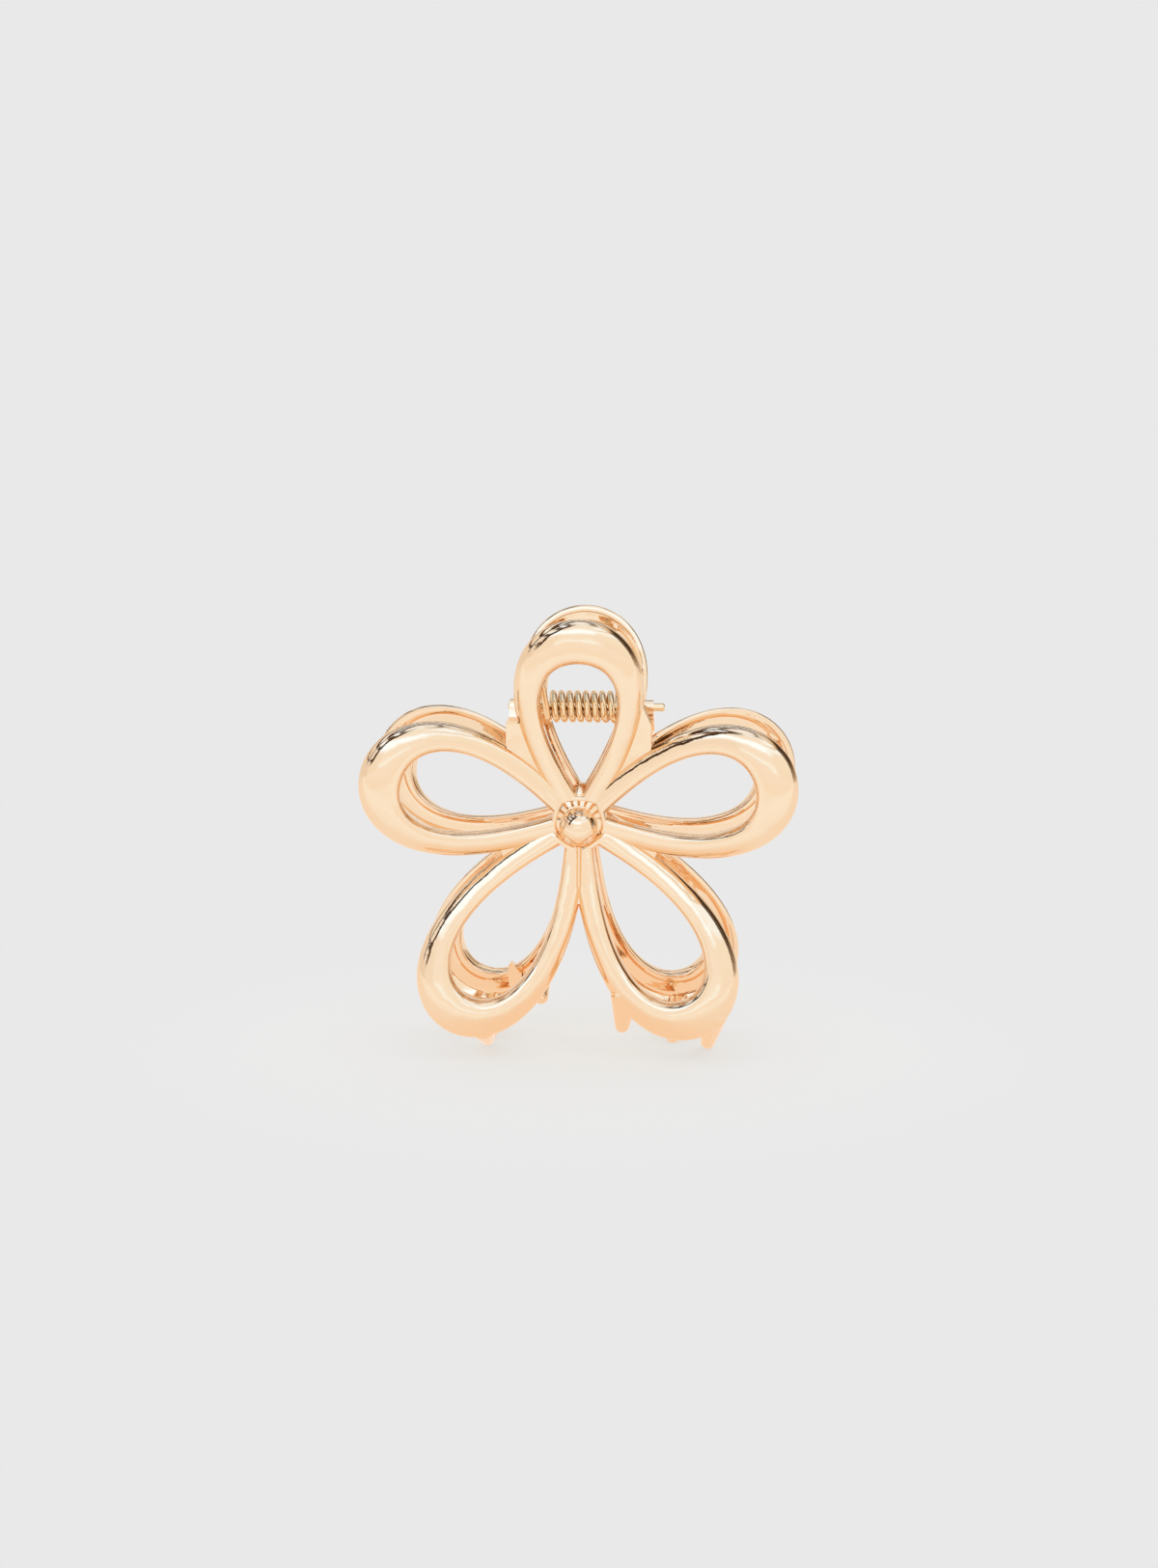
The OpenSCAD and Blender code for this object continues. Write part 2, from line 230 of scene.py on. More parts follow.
def over(p, v):
    """Points of the front half over points p of its plane, v out from its back face."""
    x, y = p[..., 0], p[..., 1]
    r = np.maximum(np.hypot(x, y), LEAST_R)
    slope_x = (2 * FLARE * x + LEAN * x * y / r) / DISH_R ** 2
    slope_y = (2 * FLARE * y + LEAN * (r + y * y / r)) / DISH_R ** 2
    n = np.sqrt(1 + slope_x ** 2 + slope_y ** 2)
    return np.stack([x - v * slope_x / n, -stand_at(p) - v / n, HUB_Z + y - v * slope_y / n], -1)


def band_at(petal, t, u):
    """Points of a petal's plane at stations t, u from -1 at the hole to 1 at the outer edge."""
    s, c = np.sin(t / 2), np.cos(t / 2)
    along = petal.length * s ** 2
    across = petal.half_w * np.sin(t) * s ** LOOP_POWER / LOOP_PEAK
    da = petal.length * s * c
    dw = petal.half_w / LOOP_PEAK * (np.cos(t) * s ** LOOP_POWER
                                     + LOOP_POWER / 2 * np.sin(t) * c * s ** (LOOP_POWER - 1))
    length = np.hypot(da, dw)
    half = (BAND_HUB_W + (petal.tip_w - BAND_HUB_W) * s ** (2 * WIDEN_POWER)) / 2
    return np.stack([along - u * half * dw / length, across + u * half * da / length], -1)


def on_band(petal, t):
    return turned(band_at(petal, np.asarray(float(t)), 0.0), petal.angle)


def first_station(petal):
    """Where the point of the hole has its width."""
    t = np.radians(np.arange(*POINT_SEARCH, STATION_STEP))
    return t[np.argmax(band_at(petal, t, -1.0)[:, 1] > HOLE_POINT_W / 2)]


def mesh_object(name, points, faces):
    """A mesh object from points in millimetres, its faces turned outward."""
    mesh = bpy.data.meshes.new(name)
    mesh.from_pydata((np.asarray(points, float).reshape(-1, 3) * MM).tolist(), [], faces)
    shell = bmesh.new()
    shell.from_mesh(mesh)
    bmesh.ops.recalc_face_normals(shell, faces=shell.faces)
    shell.to_mesh(mesh)
    shell.free()
    made = bpy.data.objects.new(name, mesh)
    bpy.context.scene.collection.objects.link(made)
    return made


def grid_faces(rows, columns, closed):
    """Quads between rows of points, each row a closed ring; closed also joins the last row to the first."""
    i = np.arange(rows if closed else rows - 1)[:, None]
    j = np.arange(columns)[None, :]
    a, b = i * columns + j, i * columns + (j + 1) % columns
    c, d = (i + 1) % rows * columns + j, (i + 1) % rows * columns + (j + 1) % columns
    return np.stack([a, c, d, b], -1).reshape(-1, 4).tolist()


def capped_rings(name, rings):
    """A closed solid through rings of points, with a flat cap at each end."""
    rows, columns = rings.shape[:2]
    faces = grid_faces(rows, columns, False)
    faces += [list(range(columns)), list(range(rows * columns - 1, (rows - 1) * columns - 1, -1))]
    return mesh_object(name, rings, faces)


def smooth_step(x):
    x = np.clip(x, 0, 1)
    return x * x * (3 - 2 * x)


def petal_band(petal):
    """A petal: one closed band with a domed face, rounded rear edges and a channel along its back."""
    t0 = first_station(petal)
    t = np.linspace(t0, 2 * math.pi - t0, LOOP_STEPS)[:, None]
    tip_share = np.sin(t / 2) ** 2
    half = (BAND_HUB_W + (petal.tip_w - BAND_HUB_W) * tip_share ** WIDEN_POWER) / 2
    high = BAND_HUB_H + (BAND_TIP_H - BAND_HUB_H) * tip_share ** RISE_POWER
    # the dome, in shares of the half width and in millimetres
    q = np.linspace(0, math.pi, DOME_STEPS)[None, :]
    dome_u = np.cos(q) - CREST_SHARE * np.sin(q) ** 2 + 0 * t
    dome_v = EDGE_ROUND + (high - EDGE_ROUND) * np.maximum(np.sin(q), 0) ** DOME_POWER
    # the two rounded edges, and the back between them
    a = np.linspace(0, math.pi / 2, EDGE_STEPS + 1)[None, 1:]
    edge_u = 1 - EDGE_ROUND * (1 - np.cos(a)) / half
    edge_v = EDGE_ROUND * (1 - np.sin(a)) + 0 * t
    u = np.linspace(-1, 1, BACK_STEPS + 2)[None, 1:-1] * (1 - EDGE_ROUND / half)
    sunk = smooth_step((CHANNEL_LIP_SHARE - np.abs(u)) / (CHANNEL_LIP_SHARE - CHANNEL_FLOOR_SHARE))
    u_all = np.concatenate([dome_u, -edge_u, u, edge_u[:, ::-1]], 1)
    v_all = np.concatenate([dome_v, edge_v, CHANNEL * tip_share * sunk, edge_v[:, ::-1]], 1)
    return over(turned(band_at(petal, t + 0 * u_all, u_all), petal.angle), v_all)


def petal_piece(petal):
    points = petal_band(petal)
    return mesh_object("petal", points, grid_faces(*points.shape[:2], True))


def plate_piece(outline):
    """A thin plate that follows the dish, filled with fine triangles fanned from its first point."""
    index, flat, tris = {}, [], []

    def corner(p):
        key = (round(p[0], SAME_DIGITS), round(p[1], SAME_DIGITS))
        if key not in index:
            index[key] = len(flat)
            flat.append(p)
        return index[key]

    a = outline[0]
    for b, c in zip(outline[1:], outline[2:]):
        rows = [[corner(a + (b - a) * i / PLATE_STEPS + (c - b) * j / PLATE_STEPS)
                 for j in range(i + 1)] for i in range(PLATE_STEPS + 1)]
        for i in range(PLATE_STEPS):
            for j in range(i + 1):
                tris.append((rows[i][j], rows[i + 1][j], rows[i + 1][j + 1]))
                if j < i:
                    tris.append((rows[i][j], rows[i + 1][j + 1], rows[i][j + 1]))
    edges = {(p, q) for tri in tris for p, q in zip(tri, tri[1:] + tri[:1])}
    rim = [(p, q) for p, q in edges if (q, p) not in edges]
    n, flat = len(flat), np.array(flat)
    points = np.concatenate([over(flat, np.full(n, WEB_INSET)), over(flat, np.full(n, WEB_INSET + WEB_T))])
    faces = [tri[::-1] for tri in tris] + [tuple(k + n for k in tri) for tri in tris]
    faces += [(p, q, q + n, p + n) for p, q in rim]
    return mesh_object("web", points, faces)


def fork_plate(petal_a, petal_b):
    """The web in the fork between two petals, from the hub to the bottom of the fork."""
    bisector = (petal_a.angle + petal_b.angle) / 2
    fork = turned(np.array([FORK_R, 0.0]), bisector)
    return plate_piece([np.zeros(2), on_band(petal_a, WEB_STATION), fork,
                        on_band(petal_b, 2 * math.pi - WEB_STATION)])


def on_top_petal(up):
    """The right band of the top petal, up from the hub."""
    return on_band(TOP, 2 * math.pi - math.acos(1 - 2 * up / TOP.length))


def lug_plate():
    """The web that fills the fork between the top and a side petal, and carries the lugs."""
    t = np.radians(np.arange(*EDGE_SEARCH, STATION_STEP))
    reach = turned(band_at(RIGHT, t, 0.0), RIGHT.angle)[:, 0]
    side = on_band(RIGHT, t[np.argmax(reach > PLATE_X)])
    return plate_piece([np.zeros(2), side, np.array([PLATE_X, WEB_TOP]), on_top_petal(WEB_TOP)])


def lug_shoulder():
    """The sloping shoulder that rises from the right web's top to the top petal."""
    return plate_piece([on_top_petal(WEB_TOP - SHOULDER_RISE), np.array([PLATE_X, WEB_TOP - SHOULDER_RUN]),
                        np.array([PLATE_X, WEB_TOP]),
                        np.array([PLATE_X - SHOULDER_RUN, WEB_TOP + SHOULDER_RISE]),
                        on_top_petal(WEB_TOP + SHOULDER_RISE)])


def hub_ring(radius, height, drop):
    """A ring round the hub's axis: height out from the middle plane, drop below the petals' meeting."""
    a = np.linspace(0, 2 * math.pi, HUB_STEPS, endpoint=False)
    return np.stack([radius * np.cos(a), -height + 0 * a, HUB_Z - drop + radius * np.sin(a)], -1)


def collar_piece():
    """The collar, its shoulder notched over the top."""
    a = np.linspace(0, 2 * math.pi, HUB_STEPS, endpoint=False)
    from_notch = np.abs((a * FLUTES / (2 * math.pi)) % 1 - 0.5) * 2
    notch = np.clip(1 - from_notch / FLUTE_W_SHARE, 0, 1)
    notch *= np.clip(NOTCH_LEVEL + NOTCH_RISE * np.sin(a), 0, 1)
    profile = np.array(COLLAR_PROFILE)
    rings = []
    for k in np.linspace(0, len(profile) - 1, COLLAR_STEPS):
        radius, height, notched = (np.interp(k, range(len(profile)), c) for c in profile.T)
        depth = FLUTE_DEPTH * notched * notch
        narrowed = 1 - COLLAR_NARROWING * np.clip(-np.sin(a), 0, 1)
        rings.append(hub_ring(radius * narrowed - depth / 2, HUB_STAND + height - depth, 0.0))
    return capped_rings("collar", np.stack(rings))


def hole_seat():
    """The rounded floor in the point of the top petal's hole."""
    low, high = over(np.array([[0, SEAT_FOOT], [0, SEAT_TIP]]), np.array([SEAT_FOOT_V, SEAT_TIP_V]))
    return round_cone("seat", low, SEAT_FOOT_R, high, SEAT_TIP_R)


def ball_piece():
    r = BALL_D / 2
    rings = [hub_ring(r * math.sin(a), HUB_STAND + BALL_H - r * math.cos(a), BALL_DROP)
             for a in np.linspace(POLE_GAP, math.pi - POLE_GAP, BALL_STEPS)]
    return capped_rings("ball", np.stack(rings))


def swapped(piece):
    """The piece with its left and right swapped, its faces still turned outward."""
    piece.data.transform(Matrix.Diagonal((-1, 1, 1, 1)))
    piece.data.flip_normals()
    return piece


def round_cone(name, start, start_r, end, end_r):
    """A solid round cone with a ball at each end."""
    start, end = Vector(start), Vector(end)
    axis = (end - start).normalized()
    side = axis.orthogonal().normalized()
    other = axis.cross(side)
    turn = math.acos((start_r - end_r) / (end - start).length)
    rings = []
    for polar in np.concatenate([np.linspace(POLE_GAP, turn, CONE_STEPS),
                                 np.linspace(turn, math.pi - POLE_GAP, CONE_STEPS)]):
        at, r = (end, end_r) if len(rings) < CONE_STEPS else (start, start_r)
        rings.append([at + axis * (r * math.cos(polar))
                      + (side * math.cos(a) + other * math.sin(a)) * (r * math.sin(polar))
                      for a in np.linspace(0, 2 * math.pi, CONE_SIDES, endpoint=False)])
    return capped_rings(name, np.array(rings))


def tooth(side, degrees, u, lift, lean, root_d):
    """A tooth from a lower petal's band to its tip; side is 1 for right and -1 for left."""
    t = np.asarray(math.radians(degrees))
    high = BAND_HUB_H + (BAND_TIP_H - BAND_HUB_H) * math.sin(t / 2) ** (2 * RISE_POWER)
    root = over(turned(band_at(LOW_RIGHT, t, u), LOW_RIGHT.angle), ROOT_HEIGHT_SHARE * high)
    tip = (root[0] + lean, -TOOTH_STAND, lift + TOOTH_TIP_D / 2)
    made = round_cone("tooth", root, root_d / 2, tip, TOOTH_TIP_D / 2)
    return swapped(made) if side < 0 else made


def rib_tooth():
    """The short tab that stands up inside the back half's right petal."""
    p = over(on_band(LOW_RIGHT, math.radians(RIB_STATION)), 0.0)
    rings = [[(p[0] + x, y - RIB_LEAN * (z - RIB_OUTLINE[0][1]), z) for x, z in RIB_OUTLINE]
             for y in (p[1] - RIB_D / 2, p[1] + RIB_D / 2)]
    return capped_rings("rib", np.array(rings))


def along_pin(name, x0, x1, outline):
    """A prism along the pin from x0 to x1, with its outline in (y, z)."""
    rings = np.array([[(x, y, z) for y, z in outline] for x in (x0, x1)])
    return capped_rings(name, rings)


def circle_points(radius, steps=ROUND_STEPS):
    return [(radius * math.cos(a), PIN_Z + radius * math.sin(a))
            for a in np.linspace(0, 2 * math.pi, steps, endpoint=False)]


def lug(x0, thick, eye_d=EYE_D):
    """An ear from the web to the round eye that the pin runs in."""
    foot = -(stand_at(np.array([x0, WEB_TOP])) + WEB_INSET + WEB_T / 2)
    low, high = HUB_Z + WEB_TOP - LUG_FOOT, HUB_Z + WEB_TOP
    outline = [(0, PIN_Z + eye_d / 2)] + [(y * eye_d / 2, PIN_Z + z * eye_d / 2) for y, z in EAR_FRONT]
    outline += [(EAR_NECK[0], PIN_Z + EAR_NECK[1])] + [(y, high + z) for y, z in EAR_HEEL]
    outline += [(foot, high), (foot, low), (0, PIN_Z - eye_d / 2)]
    return [along_pin("eye", x0, x0 + thick, circle_points(eye_d / 2)),
            along_pin("ear", x0, x0 + thick, outline)]


def groove_cutter():
    """A wedge along the line between the two lower petals, which parts their bands up to the hub."""
    rings = []
    for r in np.linspace(GROOVE_NEAR_R, FORK_R, GROOVE_STEPS):
        across = np.array([-GROOVE_TOP_W / 2, GROOVE_TOP_W / 2, GROOVE_FLOOR_W / 2, -GROOVE_FLOOR_W / 2])
        out = np.array([GROOVE_TOP_V, GROOVE_TOP_V, GROOVE_FLOOR_V, GROOVE_FLOOR_V])
        rings.append(over(np.stack([across, -r + 0 * across], -1), out))
    return capped_rings("groove", np.array(rings))


def mirrored(piece):
    copy = bpy.data.objects.new(piece.name, piece.data.copy())
    bpy.context.scene.collection.objects.link(copy)
    return swapped(copy)


def flower_pieces():
    lower = petal_piece(LOW_RIGHT)
    merge(lower, [groove_cutter()], "DIFFERENCE")
    paired = [petal_piece(RIGHT), lower, fork_plate(LOW_RIGHT, RIGHT), lug_plate()]
    pieces = paired + [mirrored(p) for p in paired]
    pieces += [petal_piece(TOP), lug_shoulder(), fork_plate(LOW_LEFT, LOW_RIGHT)]
    return pieces + [collar_piece(), ball_piece()]


def merge(body, pieces, how):
    """Adds pieces to a solid body, or cuts them away, and drops them."""
    for piece in pieces:
        step = body.modifiers.new(piece.name, "BOOLEAN")
        step.solver = "MANIFOLD"
        step.operation = how
        step.object = piece
    settle(body)
    for piece in pieces:
        bpy.data.objects.remove(piece)


def cast(name, teeth, turn):
    """One half of the clip: its pieces grown into one casting, with the pin's bores drilled."""
    raw_w = 2 * petal_band(RIGHT)[..., 0].max()
    pieces = flower_pieces() + teeth
    for piece in pieces:
        piece.data.transform(Matrix.Diagonal((FLOWER_W / raw_w, 1, 1, 1)))
    casting = pieces[0]
    casting.name = name
    merge(casting, pieces[1:] + lug(-PLATE_X, EAR_T, EAR_EYE_D) + lug(INNER_LUG_X, INNER_LUG_T), "UNION")
    bore = along_pin("bore", -PLATE_X - BORE_OVER, PLATE_X + BORE_OVER, circle_points(PIN_D / 2 + PIN_FIT))
    merge(casting, [bore], "DIFFERENCE")
    casting.data.name = name
    casting.data.transform(Matrix.Rotation(math.radians(turn), 4, "Z"))
    return casting


def settle(piece):
    """Puts what the modifiers make into the mesh, shaded smooth but for its sharp edges."""
    graph = bpy.context.evaluated_depsgraph_get()
    made = bpy.data.meshes.new_from_object(piece.evaluated_get(graph))
    piece.modifiers.clear()
    piece.data = made
    shade(piece)


def shade(piece, sharp=40):
    piece.data.polygons.foreach_set("use_smooth", [True] * len(piece.data.polygons))
    piece.data.set_sharp_from_angle(angle=math.radians(sharp))


def tube(name, path, radius, sides=20):
    """A tube of wire along a path, with caps, its rings carried along without twist."""
    path = np.asarray(path, float)
    ways = np.gradient(path, axis=0)
    ways /= np.linalg.norm(ways, axis=1)[:, None]
    side = np.cross(ways[0], (0, 1, 0))
    rings = []
    for p, w in zip(path, ways):
        side = side - w * (side @ w)
        side /= np.linalg.norm(side)
        other = np.cross(w, side)
        a = np.linspace(0, 2 * math.pi, sides, endpoint=False)[:, None]
        rings.append(p + radius * (np.cos(a) * side + np.sin(a) * other))
    return capped_rings(name, np.array(rings))


def spring_path():
    """The spring's wire: a leg behind the front lever, the coil round the pin, the back lever's leg."""
    seat = turned(band_at(TOP, np.asarray(math.radians(LEG_STATION)), LEG_PLACE), TOP.angle)
    tip, bend = over(seat, -LEG_GAP), over(seat, -LEG_GAP - LEG_END)
    coil_r = (COIL_D - WIRE_D) / 2
    from_pin = np.array([bend[1], bend[2] - PIN_Z])
    leave = math.atan2(from_pin[1], from_pin[0]) + math.acos(coil_r / np.linalg.norm(from_pin))
    whole = 2 * math.pi * TURNS + (math.pi - 2 * leave) % (2 * math.pi)
    share = np.linspace(0, 1, int(whole * COIL_STEPS))
    q = leave + whole * share
    coil = np.stack([COIL_LEN * (share - 0.5), coil_r * np.cos(q), PIN_Z + coil_r * np.sin(q)], -1)

    def toward(a, b):
        return (b - a) / np.linalg.norm(b - a)

    first = bend + toward(bend, tip) * (LEG_END - WIRE_D)
    last = bend + toward(bend, coil[0]) * (LEG_END - WIRE_D)
    k = np.linspace(0, 1, BEND_STEPS)[:, None]
    curve = (1 - k) ** 2 * first + 2 * k * (1 - k) * bend + k ** 2 * last
    straight = last + (coil[0] - last) * np.linspace(0, 1, LEG_STEPS)[1:-1, None]
    leg = np.concatenate([[tip], curve, straight])
    return np.concatenate([leg, coil, leg[::-1] * (-1, -1, 1)])


def feed(tree, socket, value):
    """Links a socket to another one, or gives it a plain value."""
    if isinstance(value, bpy.types.NodeSocket):
        tree.links.new(value, socket)
    else:
        socket.default_value = value


def math_node(tree, kind, *values):
    node = tree.nodes.new("ShaderNodeMath")
    node.operation = kind
    for socket, value in zip(node.inputs, values):
        feed(tree, socket, value)
    return node.outputs[0]


def tone_mix(tree, factor, a, b):
    """Tone a where the factor is 0, and b where it is 1."""
    node = tree.nodes.new("ShaderNodeMix")
    node.data_type = "RGBA"
    for name, value in (("Factor", factor), ("A", a), ("B", b)):
        feed(tree, node.inputs[name], value)
    return node.outputs["Result"]


def shader_mix(tree, factor, a, b):
    """Shader a where the factor is 0, and b where it is 1."""
    node = tree.nodes.new("ShaderNodeMixShader")
    for socket, value in zip(node.inputs, (factor, a, b)):
        tree.links.new(value, socket)
    return node.outputs[0]


def share_of(tree, value, low, high, smooth=False, least=0.0):
    """How far a value has come from low, as the least share, to high, as 1."""
    node = tree.nodes.new("ShaderNodeMapRange")
    node.interpolation_type = "SMOOTHSTEP" if smooth else "LINEAR"
    node.inputs["From Min"].default_value = low
    node.inputs["From Max"].default_value = high
    node.inputs["To Min"].default_value = least
    tree.links.new(value, node.inputs["Value"])
    return node.outputs[0]


def tones(tree, stops, value):
    """The tone that a ramp of (place, tone) stops has at a value."""
    ramp = tree.nodes.new("ShaderNodeValToRGB")
    marks = ramp.color_ramp.elements
    for at, _ in stops[1:-1]:
        marks.new(at)
    for mark, (_, tone) in zip(marks, stops):
        mark.color = (*tone, 1)
    tree.links.new(value, ramp.inputs["Fac"])
    return ramp.outputs["Color"]


# The plating: its colour where it is seen nearly edge on, how fine its wave and its polish marks are,
# how much the marks roughen it, and how deep they are as a share of the wave
EDGE_TINT = (1.0, 0.92, 0.84, 1.0)
WAVE_DETAIL = 1.0
MARK_DETAIL = 4.0
POLISH_SPREAD = 0.05
MARK_DEPTH_SHARE = 0.12


def plating_group():
    """Shared finish of the plated pieces: a slow change of colour, polish marks and a faint wave."""
    group = bpy.data.node_groups.new("Rose gold plating", "ShaderNodeTree")
    sockets = group.interface
    for name, kind in (("Plate", "NodeSocketColor"), ("Deep plate", "NodeSocketColor"),
                       ("Polish", "NodeSocketFloat"), ("Wave size", "NodeSocketFloat"),
                       ("Mark size", "NodeSocketFloat")):
        sockets.new_socket(name, in_out="INPUT", socket_type=kind)
    for name, kind in (("Color", "NodeSocketColor"), ("Roughness", "NodeSocketFloat"),
                       ("Height", "NodeSocketFloat")):
        sockets.new_socket(name, in_out="OUTPUT", socket_type=kind)
    nodes, links = group.nodes, group.links
    given, put = nodes.new("NodeGroupInput"), nodes.new("NodeGroupOutput")
    place = nodes.new("ShaderNodeTexCoord")

    def noise(size, detail):
        n = nodes.new("ShaderNodeTexNoise")
        n.inputs["Detail"].default_value = detail
        links.new(place.outputs["Object"], n.inputs["Vector"])
        links.new(given.outputs[size], n.inputs["Scale"])
        return n.outputs["Fac"]

    wave, marks = noise("Wave size", WAVE_DETAIL), noise("Mark size", MARK_DETAIL)
    plate = tone_mix(group, marks, given.outputs["Plate"], given.outputs["Deep plate"])
    links.new(plate, put.inputs["Color"])
    spread = math_node(group, "MULTIPLY", marks, POLISH_SPREAD)
    links.new(math_node(group, "ADD", given.outputs["Polish"], spread), put.inputs["Roughness"])
    fine = math_node(group, "MULTIPLY", marks, MARK_DEPTH_SHARE)
    links.new(math_node(group, "ADD", wave, fine), put.inputs["Height"])
    return group


def plated(name, plate, deep, polish, wave_size, mark_size, wave_depth):
    """A plated metal: sizes are in waves or marks a metre, wave_depth in millimetres."""
    material = bpy.data.materials.new(name)
    material.use_nodes = True
    nodes, links = material.node_tree.nodes, material.node_tree.links
    shader = nodes["Principled BSDF"]
    shader.inputs["Metallic"].default_value = 1.0
    shader.inputs["Specular Tint"].default_value = EDGE_TINT
    finish = nodes.new("ShaderNodeGroup")
    finish.node_tree = PLATING
    finish.inputs["Plate"].default_value = (*plate, 1)
    finish.inputs["Deep plate"].default_value = (*deep, 1)
    finish.inputs["Polish"].default_value = polish
    finish.inputs["Wave size"].default_value = wave_size
    finish.inputs["Mark size"].default_value = mark_size
    bump = nodes.new("ShaderNodeBump")
    bump.inputs["Distance"].default_value = wave_depth * MM
    links.new(finish.outputs["Color"], shader.inputs["Base Color"])
    links.new(finish.outputs["Roughness"], shader.inputs["Roughness"])
    links.new(finish.outputs["Height"], bump.inputs["Height"])
    links.new(bump.outputs["Normal"], shader.inputs["Normal"])
    return material


def dress(piece, material):
    piece.data.materials.clear()
    piece.data.materials.append(material)


def make_castings():
    front = cast("front_flower_cast", [tooth(*row) for row in FRONT_TEETH] + [hole_seat()], 0)
    back = cast("back_flower_cast", [tooth(*row) for row in BACK_TEETH] + [rib_tooth()], 180)
    for piece, node, body in ((front, "front_flower", "front_half"), (back, "back_flower", "back_half")):
        dress(piece, CASTING)
        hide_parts(node)
        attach(piece, body)


def make_pin():
    """The hinge pin, turned round with softly rounded ends."""
    x0, x1 = -PLATE_X - PIN_OUT_LEFT, PLATE_X + PIN_OUT_RIGHT
    a = np.linspace(0, math.pi / 2, PIN_ROUND_STEPS)
    inward, lower = PIN_ROUND * (1 - np.sin(a)), PIN_ROUND * (1 - np.cos(a))
    x = np.concatenate([(x0 + inward)[::-1], x1 - inward])
    r = PIN_D / 2 - np.concatenate([lower[::-1], lower])
    rings = np.array([[(px, y, z) for y, z in circle_points(pr, PIN_SIDES)] for px, pr in zip(x, r)])
    pin = capped_rings("turned_pin", rings)
    shade(pin)
    dress(pin, WIRE)
    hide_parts("hinge_pin")
    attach(pin, "back_half")


def make_spring():
    spring = tube("wound_spring", spring_path(), PLATED_WIRE_D / 2)
    shade(spring, sharp=60)
    dress(spring, WIRE)
    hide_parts("torsion_spring")
    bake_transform(spring)


# Tones, all linear: the backdrop as the camera sees it, and the light that falls on what isn't plated
BACKDROP = (0.815, 0.815, 0.815, 1)
ROOM_LIGHT = (1, 1, 1, 1)
# Tones of the studio by height, from straight down at 0 over level at 0.5 to straight up at 1.
# Before the clip a softbox hangs over a pale wall, with less bright walls to its right and left
FRONT_TONES = ((0.0, (1.0, 1.0, 1.0)), (0.49, (1.01, 1.08, 1.15)), (0.53, (1.04, 1.30, 1.58)),
               (0.57, (1.02, 1.14, 1.26)), (0.60, (1.01, 1.10, 1.20)), (0.68, (1.01, 1.08, 1.16)),
               (0.72, (1.04, 1.24, 1.50)), (0.75, (1.07, 1.48, 2.05)), (0.83, (1.07, 1.48, 2.05)),
               (0.86, (1.02, 1.18, 1.40)), (0.91, (1.00, 1.10, 1.22)), (0.95, (0.98, 1.05, 1.12)),
               (0.97, (1.03, 1.35, 1.75)), (1.0, (1.03, 1.35, 1.75)))
WALL_TONES = ((0.0, (1.0, 1.0, 1.0)), (0.45, (1.0, 1.01, 1.04)), (0.55, (1.0, 1.05, 1.09)),
              (0.68, (1.0, 1.08, 1.13)), (0.77, (1.0, 1.09, 1.16)), (0.80, (1.03, 1.30, 1.65)),
              (0.845, (1.03, 1.30, 1.65)), (0.86, (0.90, 0.92, 0.92)), (0.88, (0.90, 0.92, 0.92)),
              (0.895, (1.04, 1.40, 1.90)), (0.96, (1.02, 1.30, 1.70)), (0.975, (0.92, 0.97, 1.05)),
              (1.0, (1.0, 1.2, 1.5)))
CORNER_TONES = ((0.0, (1.0, 1.0, 1.0)), (0.45, (1.0, 1.01, 1.04)), (0.55, (0.98, 1.02, 1.05)),
                (0.68, (0.97, 1.02, 1.05)), (0.74, (1.0, 1.1, 1.25)), (0.78, (1.07, 1.5, 2.1)),
                (0.86, (1.07, 1.5, 2.1)), (0.89, (0.88, 0.84, 0.78)), (1.0, (0.95, 1.1, 1.3)))
# On the right, level with the clip and behind it, stands a dark screen
SCREEN_TONES = ((0.0, (0.97, 0.96, 0.96)), (0.45, (0.94, 0.93, 0.92)), (0.50, (0.66, 0.62, 0.58)),
                (0.55, (0.38, 0.32, 0.26)), (0.60, (0.22, 0.17, 0.12)), (0.67, (0.06, 0.035, 0.02)),
                (0.84, (0.05, 0.03, 0.015)), (0.865, (0.30, 0.22, 0.15)), (0.89, (0.65, 0.58, 0.45)),
                (0.92, (0.82, 0.80, 0.75)), (1.0, (0.95, 1.10, 1.30)))
# The rest, on the left and behind, is a golden dusk with lamps in dark frames
REAR_TONES = ((0.0, (0.95, 0.94, 0.94)), (0.50, (0.90, 0.90, 0.90)), (0.60, (0.90, 0.89, 0.88)),
              (0.665, (0.90, 0.88, 0.86)), (0.675, (0.10, 0.05, 0.03)), (0.69, (0.10, 0.05, 0.03)),
              (0.70, (0.90, 0.88, 0.86)), (0.785, (0.95, 0.98, 1.0)), (0.795, (0.08, 0.04, 0.02)),
              (0.83, (0.08, 0.04, 0.02)), (0.84, (0.90, 0.90, 0.88)), (0.86, (1.05, 1.40, 1.90)),
              (0.885, (0.95, 0.98, 1.0)), (0.90, (0.10, 0.05, 0.03)), (0.93, (0.10, 0.05, 0.03)),
              (0.945, (1.03, 1.35, 1.8)), (0.955, (1.03, 1.35, 1.8)), (0.965, (0.10, 0.05, 0.03)),
              (0.978, (0.10, 0.05, 0.03)), (0.986, (0.95, 1.05, 1.2)), (1.0, (1.02, 1.25, 1.6)))
# The dark frames at the softbox's left edge and beyond, by how far back a direction points
FRAME_TONES = ((0.0, (0, 0, 0)), (0.30, (0, 0, 0)), (0.32, (1, 1, 1)), (0.47, (1, 1, 1)), (0.49, (0, 0, 0)),
               (0.79, (0, 0, 0)), (0.81, (1, 1, 1)), (0.91, (1, 1, 1)), (0.93, (0, 0, 0)), (1.0, (0, 0, 0)))
# and the lit gap between two frames
GAP_TONES = ((0.0, (0, 0, 0)), (0.71, (0, 0, 0)), (0.73, (1, 1, 1)), (0.76, (1, 1, 1)), (0.78, (0, 0, 0)),
             (1.0, (0, 0, 0)))
